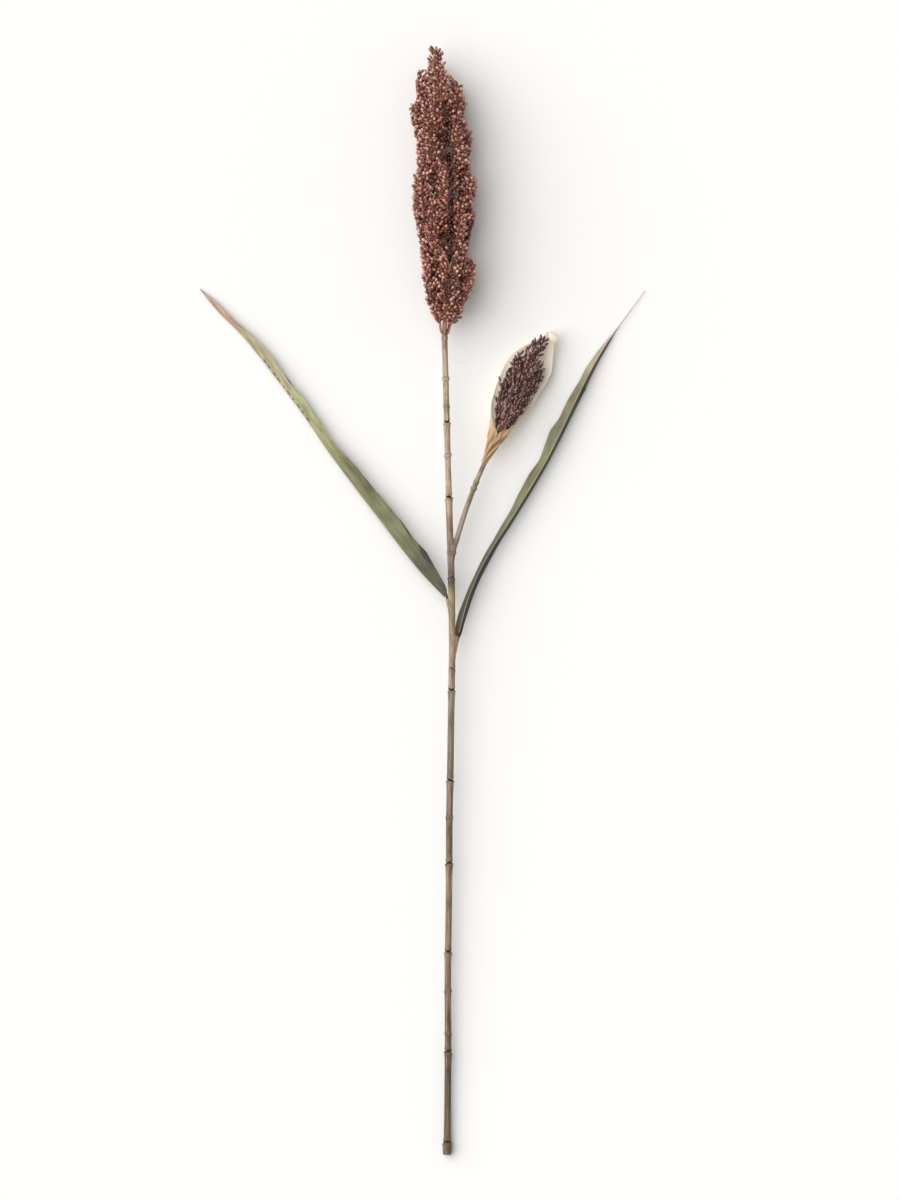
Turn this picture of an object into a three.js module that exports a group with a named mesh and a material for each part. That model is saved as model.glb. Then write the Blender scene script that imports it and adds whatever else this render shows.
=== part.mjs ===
// A cut sorghum stem lying on a table, in millimetres with +Z up.
// +Y runs along the cane from its cut end to the top of the seed head, and X runs across it.
// The pieces: a jointed cane, a long seed head of 31 branches on a rachis, a side shoot whose small
// seed head sits in its papery spathe, and two folded leaves. While it is modelled the cut end is at
// y = 0 and the table at z = 0; the last lines move the origin to the middle of the footprint.
import * as THREE from "three";

// ---- driving dimensions ----
const CANE_LENGTH = 886; // cut end to the foot of the seed head
const HEAD_LENGTH = 314; // foot of the seed head to its top grain
const HEAD_LIFT = 32.8; // height of the head's middle above the table
const CUT_RADIUS = 5; // the cane at its cut end
const GAP = 0.3; // clearance between pieces that touch
const LEAF_THICKNESS = 0.7;
const SPATHE_THICKNESS = 0.6;

const FINISH = {
  cane: { color: 0x9a8468, roughness: 0.6 },
  shoot: { color: 0xa38a72, roughness: 0.6 },
  rachis: { color: 0x8a6a4e, roughness: 0.65 },
  grain: { color: 0x7d4636, roughness: 0.45 },
  smallGrain: { color: 0x5e3a30, roughness: 0.5 },
  spathe: { color: 0xe6cba4, roughness: 0.55 },
  leaf: { color: 0x85855f, roughness: 0.6 },
};

const plant = new THREE.Group();

// ---- helpers ----
function piece(name, geometry, finish) {
  const mesh = new THREE.Mesh(geometry, new THREE.MeshStandardMaterial({ ...finish, metalness: 0 }));
  mesh.name = name;
  plant.add(mesh);
  return mesh;
}

const vec = (x, y, z) => new THREE.Vector3(x, y, z);
const radians = THREE.MathUtils.degToRad;
const smooth = (t) => THREE.MathUtils.smoothstep(t, 0, 1);

// A small, repeatable unevenness between -amount and +amount.
const uneven = (seed, amount) => amount * Math.sin(seed * 12.99 + 1.7);

// Straight-line interpolation in a short list of [place, value] pairs.
function along(pairs, place) {
  const next = pairs.findIndex(([at]) => at >= place);
  if (next === 0) return pairs[0][1];
  if (next < 0) return pairs[pairs.length - 1][1];
  const [a, va] = pairs[next - 1];
  const [b, vb] = pairs[next];
  return va + ((vb - va) * (place - a)) / (b - a);
}

// Moves every vertex of a geometry to the place that a function gives for it.
function reshape(geometry, place) {
  const at = geometry.attributes.position;
  for (let i = 0; i < at.count; i++) {
    const p = place(at.getX(i), at.getY(i), at.getZ(i));
    at.setXYZ(i, p.x, p.y, p.z);
  }
  geometry.computeVertexNormals();
  return geometry;
}

// A round solid along a curve. The profile lists [share of the curve's length, radius], and extra gives
// how far the surface stands out beyond it, for a share of the length and a direction round the curve.
function roundAlong(curve, profile, sides, extra = () => 0) {
  const outline = profile.map(([share, radius]) => new THREE.Vector2(radius, share));
  return reshape(new THREE.LatheGeometry(outline, sides), (x, y, z) => {
    const share = THREE.MathUtils.clamp(y, 0, 1);
    const forward = curve.getTangentAt(share);
    const side = new THREE.Vector3().crossVectors(forward, vec(0, 0, 1)).normalize();
    const up = new THREE.Vector3().crossVectors(side, forward);
    const radius = Math.hypot(x, z);
    const grow = radius > 0 ? 1 + extra(share, Math.atan2(z, x)) / radius : 1;
    return curve.getPointAt(share).addScaledVector(side, x * grow).addScaledVector(up, z * grow);
  });
}

// How many sides a round piece has
const CANE_SIDES = 10;
const SHOOT_SIDES = 8;
const BRANCH_SIDES = 7;

// ---- cane ----
// The cane wanders a little from joint to joint and climbs from the table to the head's middle.
const caneLift = (y) => CUT_RADIUS + ((HEAD_LIFT - CUT_RADIUS) * y) / CANE_LENGTH;
const caneRoute = [
  [-2.6, 0], [-2.2, 50], [-1.6, 110], [-1.9, 200], [-0.6, 285], [-0.3, 365], [0.9, 420], [1.7, 480],
  [2.8, 540], [2.5, 595], [1.5, 640], [0.1, 680], [-1.1, 725], [-2.2, 765], [-3.1, 800], [-4.3, 843],
  [-5.6, CANE_LENGTH],
];
const caneCurve = new THREE.CatmullRomCurve3(caneRoute.map(([x, y]) => vec(x, y, caneLift(y))));
const TOP_RADIUS = 3.1;
const CHAMFER = 1; // both ends of the cane are chamfered by this much
const caneRadius = [
  [0, CUT_RADIUS], [12, 4.9], [16, 4], [60, 3.7], [220, 3.6], [400, 3.7], [560, 3.6], [640, 3.7], [700, 3.6],
  [735, 3.3], [CANE_LENGTH, TOP_RADIUS],
];
// Rings are pinched seams with a raised lip below, and knuckles are plain swellings. A foot carries a leaf
// and the root carries the side shoot: there the cane only gets more sections, for the bulge on one side.
const caneJoints = [
  [13.5, "ring"], [112, "ring"], [131, "knuckle"], [177, "knuckle"], [220, "ring"], [316, "ring"],
  [365, "knuckle"], [406, "ring"], [503, "ring"], [526, "ring"], [556, "foot"], [600, "foot"],
  [625, "ring"], [651, "knuckle"], [661, "root"], [711, "longRing"], [756, "knuckle"], [792, "ring"],
  [809, "knuckle"], [839, "knuckle"],
];
const jointShape = {
  ring: [[-6, 1], [-1.4, 1.22], [0, 1.0], [1.4, 1.08], [4, 1]],
  longRing: [[-22, 1], [-9, 1.2], [-1.4, 1.3], [0, 1.0], [1.4, 1.08], [4, 1]],
  knuckle: [[-5, 1], [0, 1.26], [5, 1]],
  foot: [[-18, 1], [-9, 1], [0, 1], [3, 1]],
  root: [[-4, 1], [0, 1], [3, 1]],
};
// Where a leaf or the shoot joins, the cane stands out on one side: height, bearing, how far it stands
// out, and how far below that it starts.
const sheathFeet = [
  { at: 556, bearing: 8, out: 4, below: 20 },
  { at: 600, bearing: 172, out: 3.2, below: 18 },
  { at: 661, bearing: 4, out: 3.6, below: 14 },
];
const FOOT_END = 3; // a foot ends this far above its widest place

function footBulge(share, angle) {
  const y = share * CANE_LENGTH;
  return sheathFeet.reduce((sum, foot) => {
    const rise = y <= foot.at ? 1 - (foot.at - y) / foot.below : 1 - (y - foot.at) / FOOT_END;
    const facing = Math.max(0, Math.cos(angle - radians(foot.bearing)));
    return sum + foot.out * Math.max(0, rise) * facing ** 3;
  }, 0);
}

function cane() {
  const profile = [[0, 0], [0, CUT_RADIUS - CHAMFER], [CHAMFER / CANE_LENGTH, CUT_RADIUS]];
  for (const [y, kind] of caneJoints) {
    for (const [offset, swell] of jointShape[kind]) {
      profile.push([(y + offset) / CANE_LENGTH, along(caneRadius, y + offset) * swell]);
    }
  }
  const top = (CANE_LENGTH - GAP) / CANE_LENGTH;
  profile.push([top - CHAMFER / CANE_LENGTH, TOP_RADIUS], [top, TOP_RADIUS - CHAMFER], [top, 0]);
  return roundAlong(caneCurve, profile, CANE_SIDES, footBulge);
}
piece("cane", cane(), FINISH.cane);

// ---- seed head ----
const headAxis = new THREE.CatmullRomCurve3([
  vec(-5.7, CANE_LENGTH, HEAD_LIFT),
  vec(-4.4, CANE_LENGTH + 50, HEAD_LIFT),
  vec(-4.9, CANE_LENGTH + 115, HEAD_LIFT),
  vec(-7.6, CANE_LENGTH + 190, HEAD_LIFT),
  vec(-11.6, CANE_LENGTH + 255, HEAD_LIFT),
  vec(-17.5, CANE_LENGTH + HEAD_LENGTH, HEAD_LIFT),
]);
const RACHIS_TOP = 226; // where the rachis runs out into the top branch
const rachisRadius = [[0, 2.3], [RACHIS_TOP, 1.1]];

const rachisEnd = RACHIS_TOP / HEAD_LENGTH;
const rachisProfile = [
  [0, 0],
  ...[0, 0.2, 0.45, rachisEnd].map((share) => [share, along(rachisRadius, share * HEAD_LENGTH)]),
  [rachisEnd, 0],
];
piece("head_rachis", roundAlong(headAxis, rachisProfile, BRANCH_SIDES), FINISH.rachis);

// A branch is a bare stalk and then a spindle of grain with a round tip.
const branchProfile = (stalk, body) => [
  [0, 0], [0, stalk], [0.14, stalk], [0.3, body * 0.5], [0.52, body * 0.92], [0.74, body], [0.9, body * 0.72],
  [0.975, body * 0.36], [1, 0],
];

// Each whorl: height of its feet and first bearing, where 0 points along +X and 90 straight up from the
// table, and the spindle's radius. Length, reach and flare are given for its left and right branches:
// how long they are, how far they lean out, and how much further their tips stand out.
const whorls = [
  { foot: 3, bearing: 24, body: 7.2, length: [84, 76], reach: [18.5, 21.5], flare: [0, 7] },
  { foot: 46, bearing: -6, body: 7.4, length: [91, 90], reach: [23.5, 23.5], flare: [1, 5] },
  { foot: 95, bearing: 24, body: 7.3, length: [86, 77], reach: [25, 24.5], flare: [1, 6] },
  { foot: 145, bearing: -6, body: 7.1, length: [101, 79], reach: [25, 22.5], flare: [1, 5] },
  { foot: 192, bearing: 24, body: 6.2, length: [94, 80], reach: [21, 20], flare: [1, 3] },
];
const WHORL_COUNT = 6; // branches in each whorl
const STALK = 1.1;
const SPREAD = 1.12; // the head is a little wider than high, because it lies on its side
const REACHED = 0.62; // the share of its length at which a branch stops leaning out
// How much branches of one whorl differ in length, height of the foot, bearing (degrees) and reach
const DIFFER = { length: 3, foot: 2, swing: 3, reach: 1 };

function branchCurve(whorl, bearing, seed) {
  const rightness = 0.5 + 0.5 * Math.cos(radians(bearing));
  const [tall, lean, flare] = [whorl.length, whorl.reach, whorl.flare].map(
    ([left, right]) => left + (right - left) * rightness,
  );
  const length = tall + uneven(seed + 3, DIFFER.length);
  const start = whorl.foot + uneven(seed + 7, DIFFER.foot);
  const swing = uneven(seed + 5, DIFFER.swing);
  const near = along(rachisRadius, start) + GAP + STALK;
  const points = [0, 0.16, 0.35, 0.55, 0.78, 1].map((share) => {
    const height = start + length * share;
    const middle = headAxis.getPointAt(Math.min(height / HEAD_LENGTH, 1));
    const leaning = (lean + uneven(seed, DIFFER.reach) - near) * smooth(Math.min(share / REACHED, 1));
    const out = near + leaning + flare * share ** 3;
    const angle = radians(bearing + swing * share);
    return middle.add(vec(SPREAD * out * Math.cos(angle), 0, out * Math.sin(angle)));
  });
  return new THREE.CatmullRomCurve3(points);
}

let branchNumber = 0;
for (const whorl of whorls) {
  for (let i = 0; i < WHORL_COUNT; i++) {
    branchNumber += 1;
    const bearing = whorl.bearing + (360 * i) / WHORL_COUNT;
    const curve = branchCurve(whorl, bearing, branchNumber);
    const name = "head_branch_" + String(branchNumber).padStart(2, "0");
    piece(name, roundAlong(curve, branchProfile(STALK, whorl.body), BRANCH_SIDES), FINISH.grain);
  }
}

function topBranch() {
  const points = [0, 0.25, 0.5, 0.75, 1].map((share) => {
    const height = RACHIS_TOP + GAP + (HEAD_LENGTH - RACHIS_TOP - GAP) * share;
    return headAxis.getPointAt(height / HEAD_LENGTH);
  });
  const profile = [[0, 0], [0, 1], [0.15, 2.2], [0.4, 4.6], [0.6, 8.4], [0.75, 8.6], [0.9, 6.2], [0.97, 3.4],
    [1, 0]];
  return roundAlong(new THREE.CatmullRomCurve3(points), profile, BRANCH_SIDES);
}
piece("head_branch_top", topBranch(), FINISH.grain);

// ---- side shoot ----
const SHOOT_START = 664.5; // height of its foot on the cane
const neck = vec(41.3, 756, 20); // where the shoot passes into the spathe
const smallTop = vec(103.5, 885, 16); // top grain of the small seed head
const shootCurve = new THREE.CatmullRomCurve3([
  vec(7.4, SHOOT_START, 25),
  vec(9.6, SHOOT_START + 9, 24.6),
  vec(14, SHOOT_START + 23, 23.6),
  vec(24.2, SHOOT_START + 51, 22),
  vec(32.2, SHOOT_START + 71.5, 21),
  neck,
]);
const shootProfile = [
  [0, 0], [0, 1.9], [0.02, 2.4], [0.3, 2.7], [0.5, 2.7], [0.56, 3.3], [0.61, 2.7], [0.65, 3.2], [0.7, 2.4],
  [0.98, 2.2], [1, 1.9], [1, 0],
];
piece("side_shoot", roundAlong(shootCurve, shootProfile, SHOOT_SIDES), FINISH.shoot);

// ---- small seed head ----
const smallAxis = new THREE.Vector3().subVectors(smallTop, neck);
const SMALL_LENGTH = smallAxis.length();
const ahead = smallAxis.clone().normalize();
const across = new THREE.Vector3().crossVectors(ahead, vec(0, 0, 1)).normalize();
const SMALL_BOW = 1.5; // the small head bends this far to the left in the middle

function smallPoint(forward, sideways, lift) {
  const share = THREE.MathUtils.clamp(forward / SMALL_LENGTH, 0, 1);
  const aside = sideways - SMALL_BOW * Math.sin(Math.PI * share);
  return neck.clone().addScaledVector(ahead, forward).addScaledVector(across, aside).add(vec(0, 0, lift));
}

const SMALL_RACHIS = 104;
const smallRachisCurve = new THREE.CatmullRomCurve3(
  [GAP, SMALL_RACHIS / 3, (SMALL_RACHIS * 2) / 3, SMALL_RACHIS].map((forward) => smallPoint(forward, 0, 0)),
);
const smallRachisProfile = [[0, 0], [0, 1.6], [0.25, 1.4], [0.5, 1.2], [0.75, 1], [1, 0.8], [1, 0]];
piece("small_rachis", roundAlong(smallRachisCurve, smallRachisProfile, BRANCH_SIDES), FINISH.rachis);

// Pairs of branches: height of their feet, length, how far the tips stand out to the side, and their lift.
const smallPairs = [
  { foot: 19, length: 48, spread: 14, lift: -3 },
  { foot: 32, length: 52, spread: 18.5, lift: 3.4 },
  { foot: 48, length: 50, spread: 18, lift: -3.6 },
  { foot: 64, length: 47, spread: 15.5, lift: 3.4 },
  { foot: 80, length: 43, spread: 11, lift: -3 },
];
const PAIR_SHIFT = 7; // the left one of a pair starts this much higher
// Branches in front of the pairs, in the same terms, with a signed spread.
const smallFront = [
  { foot: 20, length: 56, spread: 7, lift: 10.4 },
  { foot: 40, length: 54, spread: -7, lift: 10.6 },
  { foot: 64, length: 50, spread: 5, lift: 9.8 },
  { foot: 84, length: 46, spread: -5, lift: 9.2 },
];
const SMALL_STALK = 0.8;
const SMALL_BODY = 3.3;
const SIDE_START = 2.4; // how far from the rachis the feet of a pair are
const FRONT_START = 2.6; // and those of the branches in front
const RISEN = 0.4; // the share of its length at which a branch has its full lift
const TURN_IN = 1.45; // radians of the sine that a pair follows outwards, so its tips end nearly straight

// A paired branch curves outwards less and less, and one in front runs straight.
function smallBranchCurve({ foot, length, lift, tip, front }) {
  const side = Math.sign(tip);
  const start = front ? FRONT_START : 0;
  const points = [0, 0.2, 0.5, 0.8, 1].map((share) => {
    const curved = side * (SIDE_START + (Math.abs(tip) - SIDE_START) * Math.sin(TURN_IN * share));
    const out = front ? tip * share : curved;
    const rise = start + (lift - start) * smooth(Math.min(share / RISEN, 1));
    return smallPoint(foot + length * share, out, rise);
  });
  return new THREE.CatmullRomCurve3(points);
}

const smallBranches = [
  ...smallPairs.flatMap((pair) => [
    { ...pair, tip: pair.spread },
    { ...pair, foot: pair.foot + PAIR_SHIFT, tip: -pair.spread },
  ]),
  ...smallFront.map((branch) => ({ ...branch, tip: branch.spread, front: true })),
];
smallBranches.forEach((branch, i) => {
  const name = "small_branch_" + String(i + 1).padStart(2, "0");
  const curve = smallBranchCurve(branch);
  piece(name, roundAlong(curve, branchProfile(SMALL_STALK, SMALL_BODY), BRANCH_SIDES), FINISH.smallGrain);
});

function smallTopBranch() {
  const curve = new THREE.LineCurve3(smallPoint(SMALL_RACHIS + GAP, 0, 0), smallPoint(SMALL_LENGTH, 0, 0));
  return roundAlong(curve, [[0, 0], [0, 0.8], [0.2, 3.2], [0.5, 4.6], [0.8, 3.4], [1, 0]], BRANCH_SIDES);
}
piece("small_branch_top", smallTopBranch(), FINISH.smallGrain);

// ---- sheets ----
// A thin sheet. The function gives the middle of the sheet for across and up, each from 0 to 1.
function sheet(middle, thickness, acrossSteps, upSteps) {
  const step = 1e-3;
  return reshape(new THREE.BoxGeometry(1, 1, 1, acrossSteps, upSteps, 1), (x, y, z) => {
    const [u, v] = [x + 0.5, y + 0.5];
    const overU = middle(u + step, v).sub(middle(u - step, v));
    const overV = middle(u, v + step).sub(middle(u, v - step));
    const outward = overU.cross(overV).normalize();
    return middle(u, v).addScaledVector(outward, z * thickness);
  });
}

// ---- spathe ----
// A boat-shaped bract behind the small head. It closes into a neck round the shoot, its sides wrap the
// foot of the head, and its tip stands up behind. Each table runs along it from 0 to 1: half its width
// seen from above, its depth below the head, and how far it wraps round each side in degrees.
const SPATHE_FOOT = -10; // it starts this far below the neck
const SPATHE_LENGTH = 157;
const TIP_SHIFT = 8; // its tip bends this far to the right
const SPATHE_STEPS = [10, 18]; // across and along
const spatheWidth = [[0, 3.3], [0.08, 4.4], [0.13, 6], [0.2, 8.8], [0.29, 12.8], [0.37, 17.2], [0.44, 20.4],
  [0.52, 22.8], [0.7, 24.6], [0.77, 24], [0.83, 20], [0.89, 15], [0.95, 9.5], [1, 6.5]];
const spatheDepth = [[0, 3.3], [0.1, 4.9], [0.2, 8], [0.3, 11], [0.43, 14], [0.6, 15.5], [0.8, 15], [1, 9]];
const spatheWrap = [[0, 172], [0.2, 166], [0.25, 148], [0.32, 122], [0.43, 98], [0.55, 80], [0.7, 66],
  [1, 58]];

function spathePoint(u, v) {
  const share = THREE.MathUtils.clamp(v, 0, 1);
  const wrap = radians(along(spatheWrap, share));
  const angle = (u - 0.5) * 2 * wrap;
  const half = along(spatheWidth, share) / Math.sin(Math.min(wrap, Math.PI / 2));
  const aside = half * Math.sin(angle) + TIP_SHIFT * share ** 4;
  return smallPoint(SPATHE_FOOT + SPATHE_LENGTH * v, aside, -along(spatheDepth, share) * Math.cos(angle));
}
piece("spathe", sheet(spathePoint, SPATHE_THICKNESS, ...SPATHE_STEPS), FINISH.spathe);

// ---- leaves ----
// A leaf is folded along its keel. Tables run along the keel from 0 at its foot to 1 at its tip. For the
// near and the far half they give how far the margin stands out to the side of the keel as seen from
// above, to the right of the leaf's direction when positive, and how far it rises above the keel.
const FOLD = 0.1; // how round the fold is, as a share of the half width
const CARRY_ON = 100; // past its ends the sheet carries straight on, at this many mm for a whole share
const LEAF_STEPS = [6, 34]; // across and along
const rounded = (s) => (Math.hypot(s, FOLD) - FOLD) / (Math.hypot(1, FOLD) - FOLD);

function leaf({ keel, near, far, ridge }) {
  const curve = new THREE.CatmullRomCurve3(keel.map((p) => vec(...p)));
  return sheet((u, v) => {
    const share = THREE.MathUtils.clamp(v, 0, 1);
    const forward = curve.getTangentAt(share);
    const level = new THREE.Vector3().crossVectors(forward, vec(0, 0, 1)).normalize();
    const s = (u - 0.5) * 2;
    const half = s < 0 ? near : far;
    const [out, rise] = ridge ? [Math.abs(s), rounded(s)] : [rounded(s), Math.abs(s)];
    return curve.getPointAt(share)
      .addScaledVector(forward, (v - share) * CARRY_ON)
      .addScaledVector(level, along(half.out, share) * out)
      .add(vec(0, 0, along(half.rise, share) * rise));
  }, LEAF_THICKNESS, ...LEAF_STEPS);
}

// The left leaf lies on its side with its keel outwards, one half on the table and the other above it.
const leafLeft = leaf({
  keel: [[-6.4, 604, 22], [-36.6, 636.5, 14.5], [-82.9, 696.3, 8], [-128.8, 757.4, 4.6], [-162.5, 806, 3.2],
    [-217.8, 878.4, 2.6], [-251.2, 913, 2.2], [-270.6, 936.5, 1.4]],
  near: {
    out: [[0, 2], [0.03, 9], [0.06, 14], [0.12, 18.6], [0.17, 16.6], [0.22, 17.8], [0.3, 16], [0.4, 14.2],
      [0.5, 9.6], [0.62, 10], [0.77, 9.6], [0.88, 5], [0.95, 4.8], [1, 1]],
    rise: [[0, -1], [0.1, -4], [0.3, -4], [0.5, -1.6], [1, -0.5]],
  },
  far: {
    out: [[0, 2], [0.03, 10.4], [0.08, 15.2], [0.14, 17.8], [0.19, 15.8], [0.235, 17.4], [0.3, 16.8],
      [0.35, 13.9], [0.395, 15.1], [0.45, 12.4], [0.5, 10], [0.55, 11.1], [0.58, 10.2], [0.625, 12],
      [0.675, 8.6], [0.73, 11], [0.8, 10], [0.875, 5.6], [0.91, 6.1], [0.95, 5.7], [1, 1]],
    rise: [[0, 1], [0.04, 4], [0.14, 6], [0.19, 8.6], [0.235, 7], [0.3, 7], [0.35, 9.4], [0.4, 7.2],
      [0.45, 7.8], [0.5, 7.4], [0.55, 6.2], [0.58, 7.2], [0.625, 5], [0.675, 8], [0.73, 5.4], [0.8, 5.4],
      [0.88, 4.4], [0.95, 2.4], [1, 0.6]],
  },
  ridge: false,
});
piece("leaf_left", leafLeft, FINISH.leaf);

// The right leaf stands like a ridge, keel up, with both margins near the table.
const leafRight = leaf({
  keel: [[10.8, 561.5, 21.5], [16, 585, 21], [27, 619, 19], [45, 654, 16.8], [67.5, 689, 15], [98.5, 740, 14],
    [117, 775, 14.2], [142, 827, 11.6], [160, 861, 7.6], [177, 887.5, 3.6], [211.6, 935, 1]],
  near: {
    out: [[0, -3.4], [0.03, -7], [0.06, -6.4], [0.1, -4.4], [0.16, -3.2], [0.22, -4], [0.26, -3.8],
      [0.3, -5.2], [0.35, -5.7], [0.39, -7.6], [0.45, -9.1], [0.5, -7.2], [0.55, -10.4], [0.575, -11.4],
      [0.61, -8.4], [0.665, -8.2], [0.72, -6], [0.75, -6.4], [0.8, -4.4], [0.85, -2], [0.88, -0.7],
      [1, -0.5]],
    rise: [[0, -2], [0.06, -6.4], [0.15, -8], [0.3, -9], [0.39, -9.2], [0.45, -9], [0.5, -11], [0.575, -8.6],
      [0.61, -10.8], [0.665, -9.4], [0.72, -9.4], [0.78, -7.2], [0.85, -4], [0.885, -1.4], [1, -0.2]],
  },
  far: {
    out: [[0, 2.4], [0.05, 3.4], [0.1, 3.9], [0.2, 4.4], [0.3, 3.3], [0.5, 2.9], [0.6, 3.2], [0.7, 4],
      [0.75, 2.9], [0.83, 2.5], [0.87, 0.8], [1, 0.5]],
    rise: [[0, -2], [0.06, -7.6], [0.3, -10], [0.5, -12.2], [0.58, -12.6], [0.68, -11], [0.78, -7.4],
      [0.85, -4.2], [0.885, -1.4], [1, -0.2]],
  },
  ridge: true,
});
piece("leaf_right", leafRight, FINISH.leaf);

// ---- origin ----
// The origin is on the table, under the middle of the footprint.
const bounds = new THREE.Box3().setFromObject(plant, true);
const middle = bounds.getCenter(new THREE.Vector3());
plant.position.set(-middle.x, -middle.y, -bounds.min.z);

export default plant;
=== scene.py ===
import math
import random

import bpy
import numpy as np
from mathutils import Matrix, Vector


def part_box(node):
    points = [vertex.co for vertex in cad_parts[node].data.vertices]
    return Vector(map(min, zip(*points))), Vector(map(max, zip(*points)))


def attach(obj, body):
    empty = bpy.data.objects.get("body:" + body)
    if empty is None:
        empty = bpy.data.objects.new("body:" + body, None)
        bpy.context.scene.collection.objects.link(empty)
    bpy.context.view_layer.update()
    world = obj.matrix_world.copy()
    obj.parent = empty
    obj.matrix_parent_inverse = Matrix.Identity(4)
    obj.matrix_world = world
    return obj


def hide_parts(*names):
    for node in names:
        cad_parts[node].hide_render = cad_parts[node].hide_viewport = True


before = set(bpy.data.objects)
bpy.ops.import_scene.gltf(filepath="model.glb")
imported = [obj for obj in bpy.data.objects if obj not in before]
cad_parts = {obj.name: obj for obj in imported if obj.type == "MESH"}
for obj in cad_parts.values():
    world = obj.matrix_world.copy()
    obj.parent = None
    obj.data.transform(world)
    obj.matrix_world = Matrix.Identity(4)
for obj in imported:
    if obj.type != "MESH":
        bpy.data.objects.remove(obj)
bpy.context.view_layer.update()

mm = 0.001  # every size below is in millimetres, and meshes are made in metres
random.seed(7)


# Lines and tables

def unit(v):
    return v / np.maximum(np.linalg.norm(v, axis=-1, keepdims=True), 1e-9)


def curveThrough(points, count):  # a smooth line through the points, in even steps of length
    points = np.asarray(points, float)
    padded = np.vstack([2 * points[0] - points[1], points, 2 * points[-1] - points[-2]])
    at = np.linspace(0, len(points) - 1, 40 * len(points))
    i = np.minimum(at.astype(int), len(points) - 2)
    t = (at - i)[:, None]
    a, b, c, d = (padded[i + k] for k in range(4))
    fine = 0.5 * (2 * b + (c - a) * t + (2 * a - 5 * b + 4 * c - d) * t**2 + (3 * b - a - 3 * c + d) * t**3)
    return evenSteps(fine, count)


def evenSteps(path, count):
    length = np.append(0, np.linalg.norm(np.diff(path, axis=0), axis=1).cumsum())
    at = np.linspace(0, length[-1], count)
    return np.stack([np.interp(at, length, path[:, k]) for k in range(3)], axis=1)


def lengthOf(path):
    return np.linalg.norm(np.diff(path, axis=0), axis=1).sum()


def table(pairs, at, soften=0.0):  # reads a table of (place, value), with its corners rounded over a width
    places, values = zip(*pairs)
    return sum(np.interp(at + shift * soften, places, values) for shift in np.linspace(-1, 1, 9)) / 9


def hump(d, width):  # 1 at the middle, falling away smoothly to either side
    return np.exp(-(d / width) ** 2)


def turnFrom(angle, bearing):  # how far an angle is from a bearing in degrees, in radians either way round
    return (angle - np.radians(bearing) + np.pi) % (2 * np.pi) - np.pi


def spineOf(nodeName, count):  # the middle line of a CAD solid from its lower end to its far end, and its radius
    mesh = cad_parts[nodeName].data
    points = np.array([v.co[:] for v in mesh.vertices]) / mm
    edges = np.array([e.vertices[:] for e in mesh.edges])
    foot = points[points[:, 1].argmin()]
    far = points[np.linalg.norm(points - foot, axis=1).argmax()]
    height = points @ unit(far - foot)
    inset = 0.3  # the first and last cuts are this far inside the ends
    middle, radius = [], []
    for level in np.linspace(height.min() + inset, height.max() - inset, count):
        a, b = edges[(height[edges[:, 0]] - level) * (height[edges[:, 1]] - level) < 0].T
        share = ((level - height[a]) / (height[b] - height[a]))[:, None]
        cut = points[a] * (1 - share) + points[b] * share
        middle.append(cut.mean(axis=0))
        radius.append(np.linalg.norm(cut - middle[-1], axis=1).mean())
    return np.array(middle), np.array(radius)


# Meshes

class Shape:  # gathers the points, faces and marks of one piece
    def __init__(self):
        self.points, self.faces, self.finish, self.marks, self.fibre, self.count = [], [], [], {}, [], 0

    def add(self, points, faces, finish=0, fibre=None, **marks):
        points = np.asarray(points, float)
        self.faces += [tuple(int(k) + self.count for k in face) for face in faces]
        self.finish += [finish] * len(faces)
        self.fibre.append(points if fibre is None else fibre)
        for label in sorted(set(marks) | set(self.marks)):
            before = self.marks.setdefault(label, [np.zeros(self.count)])
            before.append(np.broadcast_to(marks.get(label, 0.0), len(points)))
        self.points.append(points)
        self.count += len(points)


def makePiece(name, shape, materials, slotName, *nodes):
    mesh = bpy.data.meshes.new(name)
    mesh.from_pydata((np.concatenate(shape.points) * mm).tolist(), [], shape.faces)
    mesh.polygons.foreach_set("use_smooth", [True] * len(mesh.polygons))
    mesh.polygons.foreach_set("material_index", shape.finish)
    for label, values in shape.marks.items():
        mesh.attributes.new(label, "FLOAT", "POINT").data.foreach_set("value", np.concatenate(values))
    fibre = mesh.attributes.new("fibre", "FLOAT_VECTOR", "POINT")
    fibre.data.foreach_set("vector", np.concatenate(shape.fibre).ravel())
    for material in materials:
        mesh.materials.append(material)
    mesh.set_sharp_from_angle(angle=math.radians(62))  # rims and cut ends stay crisp
    mesh.update()
    piece = bpy.data.objects.new(name, mesh)
    bpy.context.collection.objects.link(piece)
    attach(piece, "root")
    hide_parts(*nodes)


def ringFaces(rings, sides):
    faces = []
    for i in range(rings - 1):
        for j in range(sides):
            k = (j + 1) % sides
            faces.append((i * sides + j, (i + 1) * sides + j, (i + 1) * sides + k, i * sides + k))
    return faces


# A closed tube. Its radii may differ round each ring, which runs from its right side over its top.
def tube(path, radii, sides):
    rings = len(path)
    forward = unit(np.gradient(path, axis=0))
    side = unit(np.cross(forward, (0, 0, 1)))
    up = np.cross(side, forward)
    angle = np.linspace(0, 2 * np.pi, sides, endpoint=False)
    radii = np.broadcast_to(np.asarray(radii, float).reshape(rings, -1), (rings, sides))
    across, rise = radii * np.cos(angle), radii * np.sin(angle)
    points = path[:, None] + across[..., None] * side[:, None] + rise[..., None] * up[:, None]
    travelled = np.append(0, np.linalg.norm(np.diff(path, axis=0), axis=1).cumsum())
    fibre = np.stack([across, rise, np.broadcast_to(travelled[:, None], across.shape)], axis=-1)
    faces = ringFaces(rings, sides)
    faces += [tuple(range(sides)), tuple((rings - 1) * sides + j for j in reversed(range(sides)))]
    return points.reshape(-1, 3), faces, fibre.reshape(-1, 3)


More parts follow.
